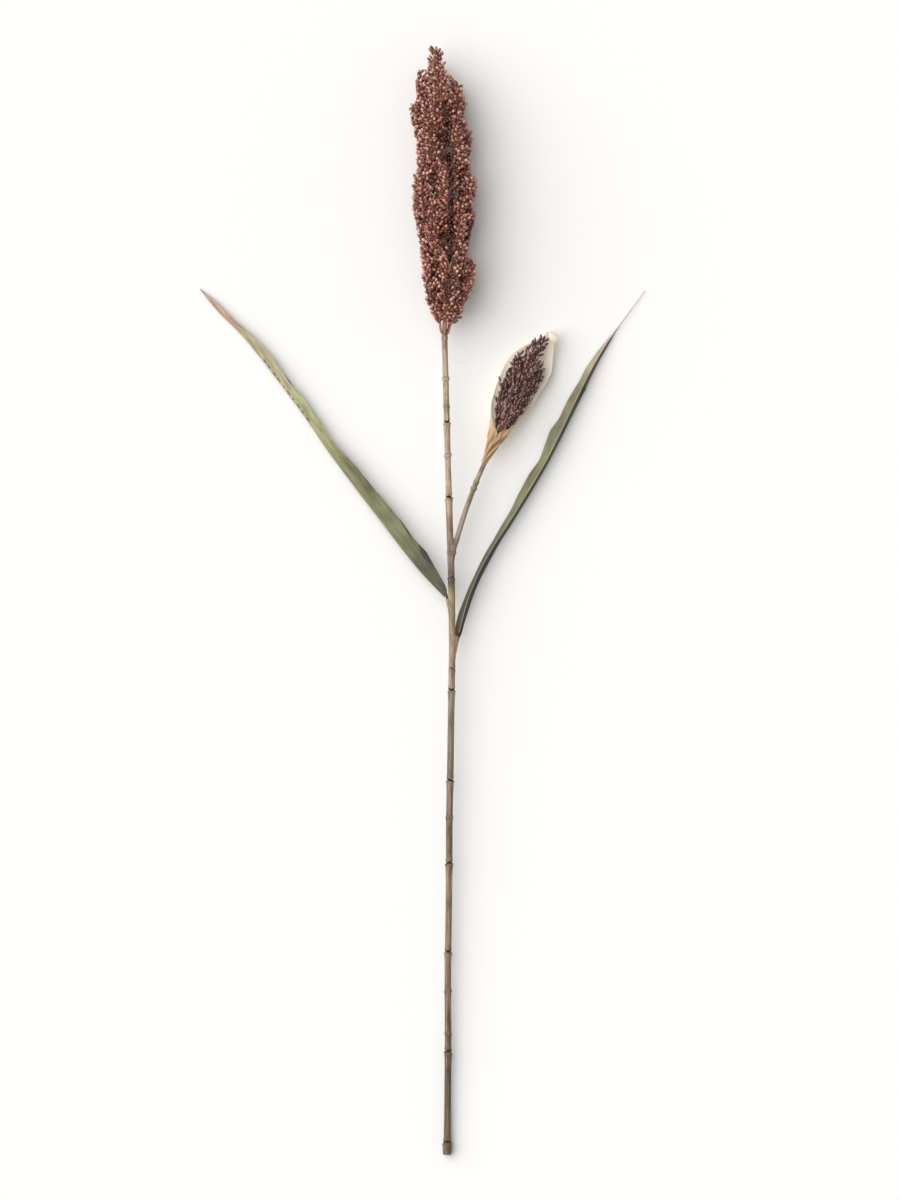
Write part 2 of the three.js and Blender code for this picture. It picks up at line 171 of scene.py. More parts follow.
def sheet(grid, thickness):  # a closed sheet from a grid of its middle points: a front, a back and a rim
    rows, columns = grid.shape[:2]
    normal = unit(np.cross(np.gradient(grid, axis=1), np.gradient(grid, axis=0)))
    half = normal * np.broadcast_to(thickness, (rows, columns))[..., None] / 2
    points = np.concatenate([(grid + half).reshape(-1, 3), (grid - half).reshape(-1, 3)])
    back = rows * columns
    faces = []
    for i in range(rows - 1):
        for j in range(columns - 1):
            a = i * columns + j
            faces.append((a, a + 1, a + columns + 1, a + columns))
            faces.append((back + a, back + a + columns, back + a + columns + 1, back + a + 1))
        for a, b in ((i * columns, (i + 1) * columns), ((i + 2) * columns - 1, (i + 1) * columns - 1)):
            faces.append((a, b, back + b, back + a))
    for j in range(columns - 1):
        for a, b in ((j + 1, j), ((rows - 1) * columns + j, (rows - 1) * columns + j + 1)):
            faces.append((a, b, back + b, back + a))
    return points, faces


# Materials

def fromHex(code):  # sRGB hex to linear
    channels = [int(code[i:i + 2], 16) / 255 for i in (1, 3, 5)]
    return [c / 12.92 if c <= 0.04045 else ((c + 0.055) / 1.055) ** 2.4 for c in channels] + [1.0]


def addNode(tree, kind, settings=None, links=None):
    node = tree.nodes.new(kind)
    for name, value in (settings or {}).items():
        if name == "stops":
            ramp = node.color_ramp
            ramp.elements.remove(ramp.elements[-1])
            for k, (place, code) in enumerate(value):
                element = ramp.elements[0] if k == 0 else ramp.elements.new(place)
                element.position, element.color = place, fromHex(code)
        elif isinstance(name, int) or name in node.inputs:
            node.inputs[name].default_value = value
        else:
            setattr(node, name, value)
    for socket, source in (links or {}).items():
        tree.links.new(source, node.inputs[socket])
    return node


def newMaterial(name, settings):
    material = bpy.data.materials.new(name)
    material.use_nodes = True
    tree = material.node_tree
    shader = tree.nodes["Principled BSDF"]
    for socket, value in settings.items():
        shader.inputs[socket].default_value = value
    return material, tree, shader


def mark(tree, name):
    return addNode(tree, "ShaderNodeAttribute", {"attribute_name": name})


def noiseAlong(tree, width, length, detail=3.0):  # noise in fibres of a width and a length in mm
    fibre = mark(tree, "fibre")
    stretch = (1 / width, 1 / width, 1 / length)
    mapped = addNode(tree, "ShaderNodeMapping", {"Scale": stretch}, {"Vector": fibre.outputs["Vector"]})
    return addNode(tree, "ShaderNodeTexNoise", {"Scale": 1.0, "Detail": detail}, {"Vector": mapped.outputs[0]})


def blend(tree, mode, factor, first, second):  # the factor and the colours may be links or values
    settings = {"data_type": "RGBA", "blend_type": mode}
    links = {}
    for socket, value in ((0, factor), (6, first), (7, second)):
        if isinstance(value, bpy.types.NodeSocket):
            links[socket] = value
        else:
            settings[socket] = value
    return addNode(tree, "ShaderNodeMix", settings, links).outputs[2]


def ranged(tree, source, low, high, newLow=0.0, newHigh=1.0, clamp=True):
    settings = {"From Min": low, "From Max": high, "To Min": newLow, "To Max": newHigh, "clamp": clamp}
    return addNode(tree, "ShaderNodeMapRange", settings, {"Value": source}).outputs[0]


def bumped(tree, shader, height, distance):  # the height's full range stands this many mm proud
    bump = addNode(tree, "ShaderNodeBump", {"Strength": 1.0, "Distance": distance * mm}, {"Height": height})
    tree.links.new(bump.outputs[0], shader.inputs["Normal"])


def caneMaterial(name, colours):
    # Dried sorghum cane: a thin wax coat over straw fibres, so a satin light along the side and fine streaks
    material, tree, shader = newMaterial(name, {"Roughness": 0.5, "IOR": 1.45})
    ground = addNode(tree, "ShaderNodeValToRGB", {"stops": colours}, {"Fac": mark(tree, "along").outputs["Fac"]})
    fibres = noiseAlong(tree, 0.7, 45, 4)  # fibre bundles are 0.3 mm wide, drawn at 0.7 mm so that they show
    patches = noiseAlong(tree, 5, 16, 3)  # weathered patches, 5 mm wide
    streak = ranged(tree, fibres.outputs["Fac"], 0.36, 0.66, 0.0, 0.75)
    streaked = blend(tree, "MULTIPLY", streak, ground.outputs[0], fromHex("#8f7a62"))
    light = ranged(tree, fibres.outputs["Fac"], 0.42, 0.3, 0.0, 0.6)
    lightened = blend(tree, "MIX", light, streaked, fromHex("#cbbba4"))
    tinted = blend(tree, "MULTIPLY", ranged(tree, patches.outputs["Fac"], 0.48, 0.62, 0.0, 0.5), lightened,
                   fromHex("#a58f84"))
    # dark along the seams and knuckle lines, and painted shade in the notches, in the grooves beside the leaf feet
    # and on the shoot where the cane shades it
    crevice = mark(tree, "crevice").outputs["Fac"]
    tree.links.new(blend(tree, "MIX", crevice, tinted, fromHex("#20160e")), shader.inputs["Base Color"])
    bumped(tree, shader, fibres.outputs["Fac"], 0.15)
    return material


def grainMaterial(name, tones, glume, tip):
    # Sorghum grain: a hard waxy seed coat, so a small soft highlight on each, over a rough papery glume
    material, tree, shader = newMaterial(name, {"IOR": 1.5, "Specular IOR Level": 1.0})
    tone = addNode(tree, "ShaderNodeValToRGB", {"stops": tones}, {"Fac": mark(tree, "tone").outputs["Fac"]})
    speckle = noiseAlong(tree, 0.9, 0.9, 2)  # mottling in the seed coat, about 1 mm across
    mottled = blend(tree, "MULTIPLY", ranged(tree, speckle.outputs["Fac"], 0.45, 0.75, 0.0, 0.4),
                    tone.outputs[0], fromHex("#8a6a60"))
    height = mark(tree, "height").outputs["Fac"]
    inGlume = ranged(tree, height, 0.40, 0.33, 0.0, 0.85)
    scar = ranged(tree, height, 0.9, 0.97, 0.0, 0.85)
    cupped = blend(tree, "MIX", inGlume, mottled, fromHex(glume))
    tree.links.new(blend(tree, "MIX", scar, cupped, fromHex(tip)), shader.inputs["Base Color"])
    tree.links.new(ranged(tree, height, 0.34, 0.42, 0.75, 0.24), shader.inputs["Roughness"])
    bumped(tree, shader, speckle.outputs["Fac"], 0.04)
    return material


def stalkMaterial(name, light, dark):
    # Branchlets of the panicle: dry woody fibre with no wax, so matt
    material, tree, shader = newMaterial(name, {"Roughness": 0.68, "IOR": 1.45})
    fibres = noiseAlong(tree, 0.4, 9, 3)  # split fibres, 0.4 mm wide
    colour = blend(tree, "MIX", ranged(tree, fibres.outputs["Fac"], 0.35, 0.65), fromHex(light), fromHex(dark))
    tree.links.new(colour, shader.inputs["Base Color"])
    bumped(tree, shader, fibres.outputs["Fac"], 0.1)
    return material


def leafMaterial(name, colours):
    # Dry grass leaf: fine parallel veins and a dull cuticle, so a ribbed satin that breaks up along its length
    material, tree, shader = newMaterial(name, {"Roughness": 0.54, "IOR": 1.42})
    ground = addNode(tree, "ShaderNodeValToRGB", {"stops": colours}, {"Fac": mark(tree, "along").outputs["Fac"]})
    across = mark(tree, "across").outputs["Fac"]
    turn = ranged(tree, across, 0, 1.25, 0, 2 * math.pi, clamp=False)  # a vein every 1.25 mm
    veins = addNode(tree, "ShaderNodeMath", {"operation": "SINE"}, {0: turn}).outputs[0]
    patches = noiseAlong(tree, 4, 20, 4)  # dried patches, 4 mm wide
    fibres = noiseAlong(tree, 0.7, 24, 3)  # groups of fibres between the veins
    patched = blend(tree, "MULTIPLY", ranged(tree, patches.outputs["Fac"], 0.46, 0.66, 0.0, 0.5),
                    ground.outputs[0], fromHex("#9c977e"))
    streaked = blend(tree, "MULTIPLY", ranged(tree, fibres.outputs["Fac"], 0.42, 0.66, 0.0, 0.5), patched,
                     fromHex("#a3a088"))
    veined = blend(tree, "MULTIPLY", ranged(tree, veins, 0.3, 1, 0.0, 0.2), streaked, fromHex("#8c8c6c"))
    ribbed = blend(tree, "MIX", mark(tree, "pale").outputs["Fac"], veined, fromHex("#c3bfa2"))
    # painted shade multiplied over the half that faces down and where the upper half turns from the light
    shaded = blend(tree, "MULTIPLY", mark(tree, "dull").outputs["Fac"], ribbed, fromHex("#5a5138"))
    # painted shade in the broken crease and under the curled margin
    tree.links.new(blend(tree, "MIX", mark(tree, "crease").outputs["Fac"], shaded, fromHex("#2a2818")),
                   shader.inputs["Base Color"])
    grit = noiseAlong(tree, 0.5, 0.5, 2)  # the cuticle's own grain
    height = addNode(tree, "ShaderNodeMath", {"operation": "MULTIPLY_ADD", 1: 0.5},
                     {0: ranged(tree, veins, -1, 1), 2: grit.outputs["Fac"]}).outputs[0]
    bumped(tree, shader, height, 0.16)
    return material


def spatheMaterial(name):
    # Dried spathe: a thin parchment-like bract, cream and let through by light, tan where it is doubled
    material, tree, shader = newMaterial(name, {"Roughness": 0.48, "IOR": 1.42, "Subsurface Weight": 0.5,
                                                "Subsurface Scale": 0.004, "Subsurface Radius": (1, 0.9, 0.75)})
    tan = mark(tree, "tan").outputs["Fac"]
    stops = [(0, "#ffeedb"), (0.3, "#fbe0c0"), (0.65, "#e8c195"), (1, "#c8a078")]
    ground = addNode(tree, "ShaderNodeValToRGB", {"stops": stops}, {"Fac": tan})
    fibres = noiseAlong(tree, 0.9, 26, 4)  # veins of the bract, 0.9 mm wide
    streaked = blend(tree, "MULTIPLY", ranged(tree, fibres.outputs["Fac"], 0.45, 0.68, 0.0, 0.28),
                     ground.outputs[0], fromHex("#d0a878"))
    # painted shade in the creases of the folds wound round the neck
    fold = mark(tree, "fold").outputs["Fac"]
    tree.links.new(blend(tree, "MIX", fold, streaked, fromHex("#75502e")), shader.inputs["Base Color"])
    bumped(tree, shader, fibres.outputs["Fac"], 0.25)
    return material


print("materials")
caneStraw = caneMaterial("driedCane", [
    (0.0, "#8a765b"), (0.02, "#76644a"), (0.045, "#725f47"), (0.09, "#655343"), (0.19, "#8b745e"), (0.24, "#9b8670"),
    (0.335, "#9a886f"), (0.396, "#7f6f53"), (0.44, "#968370"), (0.53, "#988f78"), (0.615, "#b9a28b"),
    (0.66, "#b09c74"), (0.682, "#b8a97a"), (0.692, "#8a8058"), (0.699, "#736458"), (0.72, "#8c7768"),
    (0.76, "#aa927b"), (0.8, "#c8b297"), (0.817, "#d3bfa2"), (0.87, "#c5b39e"), (0.9, "#c0b48b"), (0.93, "#c6b88f"),
    (0.96, "#cab39a"), (1.0, "#c0a888")])
shootStraw = caneMaterial("driedShoot", [(0, "#9b8276"), (0.2, "#b7a292"), (0.5, "#b5a08d"), (0.56, "#979070"),
                                         (0.68, "#8f8a6c"), (0.76, "#b09c8a"), (0.95, "#a5907c"), (1, "#a58a6a")])
grainCoat = grainMaterial("sorghumGrain", [(0, "#26100a"), (0.14, "#5f251a"), (0.36, "#924938"), (0.6, "#c0765f"),
                                           (0.86, "#ebb39b"), (1, "#cf7f4e")], "#33110a", "#1a0803")
smallGrainCoat = grainMaterial("youngSorghumGrain", [(0, "#34160f"), (0.5, "#603127"), (1, "#9d6857")], "#4b251e",
                               "#24110d")
branchFibre = stalkMaterial("panicleBranch", "#bb876c", "#7d4f3d")
smallBranchFibre = stalkMaterial("youngBranch", "#7a5142", "#4d2b22")
footFibre = stalkMaterial("leafFoot", "#5a4228", "#33230f")
leafLeftSkin = leafMaterial("leftLeaf", [
    (0.0, "#595844"), (0.1, "#5c5b45"), (0.15, "#7b7c5b"), (0.27, "#868763"), (0.35, "#898763"), (0.45, "#98966c"),
    (0.51, "#acab7f"), (0.6, "#b6b68c"), (0.68, "#c3ba95"), (0.75, "#beb18f"), (0.83, "#beae8d"), (0.885, "#c3a389"),
    (0.95, "#ceab97"), (1.0, "#bdb0af")])
leafRightSkin = leafMaterial("rightLeaf", [
    (0.0, "#6a6351"), (0.06, "#615b47"), (0.15, "#5f5e48"), (0.25, "#636553"), (0.33, "#7c825b"), (0.4, "#83825d"),
    (0.46, "#797456"), (0.5, "#8e9169"), (0.58, "#7c7d64"), (0.66, "#928a66"), (0.7, "#89866c"), (0.76, "#b0a68a"),
    (0.8, "#bbaa99"), (0.85, "#cbc0b8"), (1.0, "#f1eeee")])
parchment = spatheMaterial("driedSpathe")


# Cane

# The same route and joints as in the CAD solid, by height above the cut end.
cane = dict(
    length=886, lift=(5, 32.8), sides=44, step=2.5,
    route=[(0, -2.6), (50, -2.2), (110, -1.6), (200, -1.9), (285, -0.6), (365, -0.3), (420, 0.9), (480, 1.7),
           (540, 2.8), (595, 2.5), (640, 1.5), (680, 0.1), (725, -1.1), (765, -2.2), (800, -3.1), (843, -4.3),
           (886, -5.6)],
    radius=[(0, 4.8), (12.5, 4.7), (15, 4.0), (60, 3.6), (220, 3.5), (400, 3.6), (560, 3.5), (640, 3.6), (700, 3.5),
            (735, 3.2), (886, 3.1)],
    rings=[(13.8, 0.9), (112, 1.1), (220, 1.1), (316, 1.2), (406, 1.2), (503, 1.0), (526, 0.5), (625, 0.6),
           (711, 1.4), (792, 1.3)],  # height and how strong the seam is
    knuckles=[(131, 0.5), (177, 0.7), (365, 0.7), (651, 0.8), (756, 1.2), (809, 0.6), (839, 1.0), (883, 0.5)],
    # Where a leaf or the shoot joins: its height, its direction and width in degrees (0 is right, 90 up), how far it
    # stands out, and how far it reaches below and above
    feet=[
        dict(at=559, bearing=6, out=4.8, below=26, above=3.5, width=28, grooved=True),
        dict(at=600, bearing=172, out=3.0, below=18, above=2.6, width=26, grooved=True),
        dict(at=657, bearing=4, out=3.4, below=18, above=11.0, width=36, grooved=False),
    ],
    grooveAt=34, grooveWidth=0.16, grooveShade=0.75,  # degrees from the foot's own direction, radians, share of painted shade
    seamWidth=1.15, notchHeight=5, notchShade=0.45,
    wornEdge=0.5, clearance=0.02,  # how much the cut ends are rounded off, and how far it stays above the table
)


def jointStations(length, step, joints):  # even rings, with fine ones round each joint
    reach, count, closest = 7, 43, 0.12
    stations = list(np.arange(0, length, step))
    for joint in joints:
        stations += list(joint + np.linspace(-reach, reach, count))
    stations = np.unique(np.round(np.clip(stations, 0, length), 2))
    return stations[np.append(True, np.diff(stations) > closest)]


def ringProfile(d, strength):  # a seam: how far it stands out, at a distance above the joint
    fromLip = d + 1.8  # the lip is this far below the seam, and swells slowly up to there
    lip = 0.35 * hump(fromLip, 1.0) + 0.75 * np.where(fromLip < 0, np.exp(fromLip / 5.5), 0)
    lip += 0.75 * hump(fromLip, 0.7) * (fromLip >= 0)
    return strength * (lip - 0.6 * hump(d, 0.8) + 0.3 * hump(d - 2.6, 2.2))


def buildCane():
    length, (lowest, highest) = cane["length"], cane["lift"]
    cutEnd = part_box("cane")[0]
    top = spineOf("head_rachis", 6)[0][0]  # the cane's top is at the foot of the rachis
    start = np.array([top[0] - cane["route"][-1][1], cutEnd[1] / mm, top[2] - highest])
    joints = [height for height, _ in cane["rings"] + cane["knuckles"]] + [foot["at"] for foot in cane["feet"]]
    height = jointStations(length, cane["step"], joints)
    lift = lowest + (highest - lowest) * height / length
    path = start + np.stack([table(cane["route"], height, 14), height, lift], axis=1)
    angle = np.linspace(0, 2 * np.pi, cane["sides"], endpoint=False)
    radius = table(cane["radius"], height, 3)[:, None] + np.zeros(cane["sides"])
    crevice = np.zeros_like(radius)
    for place, strength in cane["rings"]:
        wobble = 0.5 * np.sin(angle + place) + 0.45 * np.sin(3 * angle + 2 * place)  # the seam isn't quite level
        d = height[:, None] - place - wobble
        radius += ringProfile(d, strength)
        crevice += min(1.0, 1.1 * strength) * np.exp(-(d / cane["seamWidth"]) ** 4)
        notch = np.clip(1 - d / cane["notchHeight"], 0, 1) * (d > 0)  # painted shade of a notch that narrows upwards
        away = np.abs(turnFrom(angle, 50 + 40 * math.sin(place)))
        crevice += cane["notchShade"] * strength * np.clip(1.3 - away / np.maximum(0.5 * notch, 0.01), 0, 1) * notch
    for place, strength in cane["knuckles"]:
        d = height[:, None] - place - 0.6 * np.sin(angle + place)
        groove = hump(d - 2.2, 0.6)  # a fine line just above the swelling
        radius += strength * (hump(d, 2.2) - 0.35 * groove)
        crevice += 0.4 * strength * groove
    for foot in cane["feet"]:
        d = height - foot["at"]
        rise = np.where(d < 0, np.clip(1 + d / foot["below"], 0, 1) ** 1.5, np.clip(1 - d / foot["above"], 0, 1))
        away = turnFrom(angle, foot["bearing"])
        radius += foot["out"] * rise[:, None] * hump(away, np.radians(foot["width"]))
        if foot["grooved"]:  # painted shade in the groove that runs between the cane and the foot of a leaf
            groove = hump(np.abs(away) - np.radians(cane["grooveAt"]), cane["grooveWidth"])
            groove = groove * np.clip(rise, 0, 0.8)[:, None]
            crevice += cane["grooveShade"] * groove * (np.cos(angle) * np.cos(np.radians(foot["bearing"])) > 0)
    radius += 0.05 * np.sin(11 * angle) + 0.04 * np.sin(17 * angle + 1)  # shallow ribs
    radius[[0, -1]] -= cane["wornEdge"]
    underside = radius[:, 3 * cane["sides"] // 4]
    path[:, 2] = np.maximum(path[:, 2], underside + cane["clearance"])  # it rests on the table
    points, faces, fibre = tube(path, radius, cane["sides"])
    shape = Shape()
    share = np.repeat(height / length, cane["sides"])
    shape.add(points, faces, 0, fibre, along=share, crevice=np.clip(crevice, 0, 1).ravel())
    makePiece("caneStalk", shape, [caneStraw], "cane", "cane")
    return start


print("cane")
plantStart = buildCane()  # the point on the table, below the cut end, that heads and leaves are measured from


# Grains

def turned(profile, sides, twoLipped=0.0):  # a solid of revolution about +Z, closed by a point at each end
    angle = np.linspace(0, 2 * np.pi, sides, endpoint=False)
    points = [(0, 0, profile[0][1])]
    for radius, height in profile[1:-1]:
        lift = twoLipped * np.cos(2 * angle) * (0.2 < height < 0.4)
        points += list(zip(radius * np.cos(angle), radius * np.sin(angle), height + lift))
    points.append((0, 0, profile[-1][1]))
    faces = [(0, 1 + (j + 1) % sides, 1 + j) for j in range(sides)]
    rings = len(profile) - 2
    for i in range(rings - 1):
        for j in range(sides):
            k = (j + 1) % sides
            faces.append((1 + i * sides + j, 1 + i * sides + k, 1 + (i + 1) * sides + k, 1 + (i + 1) * sides + j))
    lastRing = 1 + (rings - 1) * sides
    faces += [(lastRing + j, lastRing + (j + 1) % sides, len(points) - 1) for j in range(sides)]
    return np.array(points, float), faces


# Radius and height as shares of the grain's half width and length: glume, its lip, then the grain
grainProfile = [(0, 0), (0.34, 0.02), (0.66, 0.11), (0.86, 0.25), (0.9, 0.36), (0.82, 0.38), (0.97, 0.5),
                (1, 0.63), (0.9, 0.78), (0.62, 0.91), (0.25, 0.98), (0, 1)]
youngProfile = [(0, 0), (0.4, 0.03), (0.72, 0.13), (0.9, 0.27), (0.94, 0.36), (0.88, 0.38), (1, 0.5),
                (0.93, 0.68), (0.7, 0.84), (0.36, 0.95), (0, 1)]

# What the twigs and stalks of both heads have in common
raceme = dict(
    leanSwing=10, steps=(0.85, 1.15),  # degrees, and how unevenly the grains are spaced along a twig
    lastTwig=0.97, tipFrom=0.8,  # shares of the branch's length
    seat=0.8,  # how far behind a grain's middle its own stalk leaves the twig, as a share of its length
    clearance=0.6,  # the least height of a grain's middle above the table, as a share of its length
    stalkRings=26, stalkSides=8,
)
offAxis = (0.31, 0.52, 0.79)  # a direction that no branch or grain points in


class Crowd:  # remembers where grains are, so that no two share a place
    def __init__(self, spacing):
        self.spacing, self.cells = spacing, {}

    def admits(self, point):
        cell = tuple(int(math.floor(c / self.spacing)) for c in point)
        for dx in (-1, 0, 1):
            for dy in (-1, 0, 1):
                for dz in (-1, 0, 1):
                    for other in self.cells.get((cell[0] + dx, cell[1] + dy, cell[2] + dz), ()):
                        if sum((a - b) ** 2 for a, b in zip(point, other)) < self.spacing ** 2:
                            return False
        self.cells.setdefault(cell, []).append(tuple(point))
        return True


class Branch:
    def __init__(self, nodeName):
        middle, radius = spineOf(nodeName, 9)
        self.name, self.count = nodeName, 48
        self.path = curveThrough(middle, self.count)
        self.radius = np.interp(np.linspace(0, 1, self.count), np.linspace(0, 1, len(radius)), radius)
        self.length = lengthOf(self.path)
        self.forward = unit(np.gradient(self.path, axis=0))
        self.side = unit(np.cross(self.forward, (0, 0, 1)))
        self.up = np.cross(self.side, self.forward)
        self.root = None  # the point on the rachis that it grows from
        self.grains = []  # middle, direction and size
        self.twigs = []  # the lines that the grains stand on

    def at(self, share):
        place = min(max(share, 0), 1) * (self.count - 1)
        i = min(int(place), self.count - 2)
        t = place - i
        return tuple(line[i] * (1 - t) + line[i + 1] * t for line in (self.path, self.forward, self.side, self.up))

    def reach(self, share):
        return float(np.interp(share * (self.count - 1), range(self.count), self.radius))


def growRaceme(branch, crowd, spec, inside, share, extra, steepest):  # a side twig with grains on alternate sides
    middle, forward, side, up = branch.at(share)
    turn = random.choice((0, math.pi)) + random.uniform(-steepest, steepest)
    out = math.cos(turn) * side + math.sin(turn) * up
    steep = 1 - 0.5 * max(0, (share - raceme["tipFrom"]) / 0.2)  # twigs near the tip lie closer to it
    lean = math.radians(spec["lean"] + random.uniform(-raceme["leanSwing"], raceme["leanSwing"])) * steep
    direction = unit(forward * math.cos(lean) + out * math.sin(lean)
                     + np.array([random.gauss(0, spec["loose"]) for _ in range(3)]))
    ahead = share + raceme["seat"] * spec["grainLength"] / branch.length
    reach = branch.reach(min(ahead, raceme["lastTwig"]))
    reach = max(reach, spec["least"] * min(1, (share - spec["bare"]) / 0.08))
    length = (reach * random.uniform(*spec["fill"]) + extra) / math.sin(max(lean, 0.35))
    length = min(length, spec["longest"])
    aside = unit(np.cross(direction, out if abs(direction @ out) < 0.95 else forward))
    kept = []
    place, flip = length, random.choice((-1, 1))
    while place > spec["firstGrain"]:
        bend = spec["sway"] * flip if place < length else 0
        centre = middle + direction * place + aside * bend * spec["grainWidth"]
        clear = centre[2] > spec["grainLength"] * raceme["clearance"]
        if clear and inside(centre) and crowd.admits(centre):
            kept.append((centre, unit(direction + aside * bend * 0.8), place))
        place -= spec["step"] * random.uniform(*raceme["steps"])
        flip = -flip
    for centre, heading, place in kept:
        branch.grains.append((centre, heading, random.uniform(*spec["sizes"])))
        joint = middle + direction * max(place - raceme["seat"] * spec["grainLength"], 0)
        branch.twigs.append(np.array([joint, (joint + centre) / 2, centre]))
    if kept:
        farthest = max(place for _, _, place in kept)
        foot = branch.at(share - 1.5 / branch.length)[0]
        bend, end = (middle + direction * farthest * part for part in (0.4, 0.85))
        branch.twigs.append(np.array([foot, bend, end]))


def crowdBranches(branches, spec, inside):
    crowd = Crowd(spec["spacing"])
    for extra, tries, steepest in spec["layers"]:
        for _ in range(tries):
            for branch in branches:
                share = spec["bare"] + (raceme["lastTwig"] - spec["bare"]) * random.random()
                growRaceme(branch, crowd, spec, inside, share, random.uniform(*extra), math.radians(steepest))


def branchShape(branch, spec, template, toneAndPaintedShade):
    shape = Shape()
    path = branch.path[::6]
    if branch.root is not None:
        path = np.vstack([branch.root, path])
    path = curveThrough(path, raceme["stalkRings"])
    stalk = np.interp(np.linspace(0, 1, raceme["stalkRings"]), [0, 0.5, 1], spec["stalk"])
    points, faces, fibre = tube(path, stalk, raceme["stalkSides"])
    shape.add(points, faces, 1, fibre)
    profilePoints, profileFaces = template
    for middle, direction, size in branch.grains:
        length, width = spec["grainLength"] * size, spec["grainWidth"] * size
        level = unit(np.cross(direction, offAxis))
        spin = random.uniform(0, math.pi)
        aside = level * math.cos(spin) + np.cross(direction, level) * math.sin(spin)
        basis = np.stack([aside * width / 2, np.cross(direction, aside) * width / 2, direction * length])
        points = middle - direction * length * 0.5 + profilePoints @ basis
        shape.add(points, profileFaces, 0, points, tone=toneAndPaintedShade(middle), height=profilePoints[:, 2])
    for line in branch.twigs:
        points, faces, fibre = twigTube(line, spec["twig"])
        shape.add(points, faces, 1, fibre)
    return shape


def twigTube(line, width):  # a four-sided twig that points anywhere
    forward = unit(np.gradient(line, axis=0))
    side = unit(np.cross(forward, offAxis))
    up = np.cross(side, forward)
    corners = np.radians([0, 90, 180, 270])
    rim = (np.cos(corners)[:, None] * side[:, None] + np.sin(corners)[:, None] * up[:, None]) * width / 2
    points = (line[:, None] + rim).reshape(-1, 3)
    fibre = np.stack([np.tile(np.cos(corners), 3), np.tile(np.sin(corners), 3), np.repeat([0.0, 4, 8], 4)], axis=1)
    return points, ringFaces(3, 4) + [(0, 1, 2, 3), (11, 10, 9, 8)], fibre


def branchesOn(rachis, prefix):
    branches = [Branch(name) for name in sorted(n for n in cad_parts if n.startswith(prefix))]
    for branch in branches:
        if not branch.name.endswith("top"):  # the one at the top carries the rachis on
            branch.root = rachis[np.abs(rachis[:, 1] - (branch.path[0][1] - 3)).argmin()]
    return branches


def makeRachis(name, path, radii, sides, material, nodeName):
    shape = Shape()
    points, faces, fibre = tube(path, radii, sides)
    shape.add(points, faces, 0, fibre)
    makePiece(name, shape, [material], "rachis", nodeName)


# Main seed head

head = dict(
    grainLength=5.4, grainWidth=3.05, sizes=(0.84, 1.12),
    spacing=3.2,  # least distance between the middles of two grains
    lean=42, loose=0.12,  # degrees that a twig stands off its branch, and disorder
    fill=(0.72, 1.08), least=5, longest=15,  # a twig's reach, as shares of the branch's radius, and its limits
    firstGrain=3, step=4.0, sway=0.42,  # along a twig: the first grain, the gaps, and how far they lean to each side
    # How far beyond the branch's body its twigs reach, how many are tried, and how far they rise from level
    layers=[((0, 0.8), 90, 90), ((4, 10), 40, 35), ((1.5, 4), 25, 90), ((-3, 0), 80, 90)],
    bare=0.09, twig=0.75, stalk=(1.15, 0.9, 0.5),  # share of a branch left bare, a twig's width, a stalk's radii
    # The outline that its twigs keep to, seen from above: height above the cut end, and how far across
    left=[(894, -10), (902, -15), (913, -21), (924, -25.5), (956, -31), (980, -32.5), (1000, -36), (1016, -39),
          (1028, -41), (1056, -41), (1062, -40), (1068, -35.5), (1098, -37), (1112, -41), (1124, -43.5), (1135, -44),
          (1140, -37), (1150, -36), (1168, -37), (1173, -35), (1177, -24), (1194, -25), (1202, -20)],
    right=[(894, 5), (902, 11), (913, 15), (924, 18), (936, 25), (956, 30), (966, 30), (971, 21), (978, 18.5),
           (990, 22), (1008, 28), (1018, 30.5), (1023, 26), (1032, 26), (1042, 30.5), (1058, 30), (1063, 23),
           (1080, 22), (1094, 26), (1107, 26.5), (1112, 19.5), (1140, 19.5), (1150, 14), (1158, 16), (1161, 8),
           (1168, 3), (1180, 0), (1192, -5), (1202, -15)],
    valley=[(915, -3), (930, -2), (960, 1), (990, 2.5), (1030, 2.5), (1080, 0), (1115, -2), (1140, -6)],
    # A furrow runs up the front of the head, and its grains are painted dark as painted shade: where it ends, how
    # deep it goes (a height above the table), how steep its sides are, and how far from its middle the grains are
    # still painted with shade
    valleyEnds=(920, 1138), valleyFloor=53, valleySlope=4, valleyShade=5,
    inset=2, rise=3, top=1197,  # from a grain's middle to the outline, across and upwards, and the highest middle
    tones=(0.14, 1),  # where on the colour ramp a grain may be, outside the furrow
)


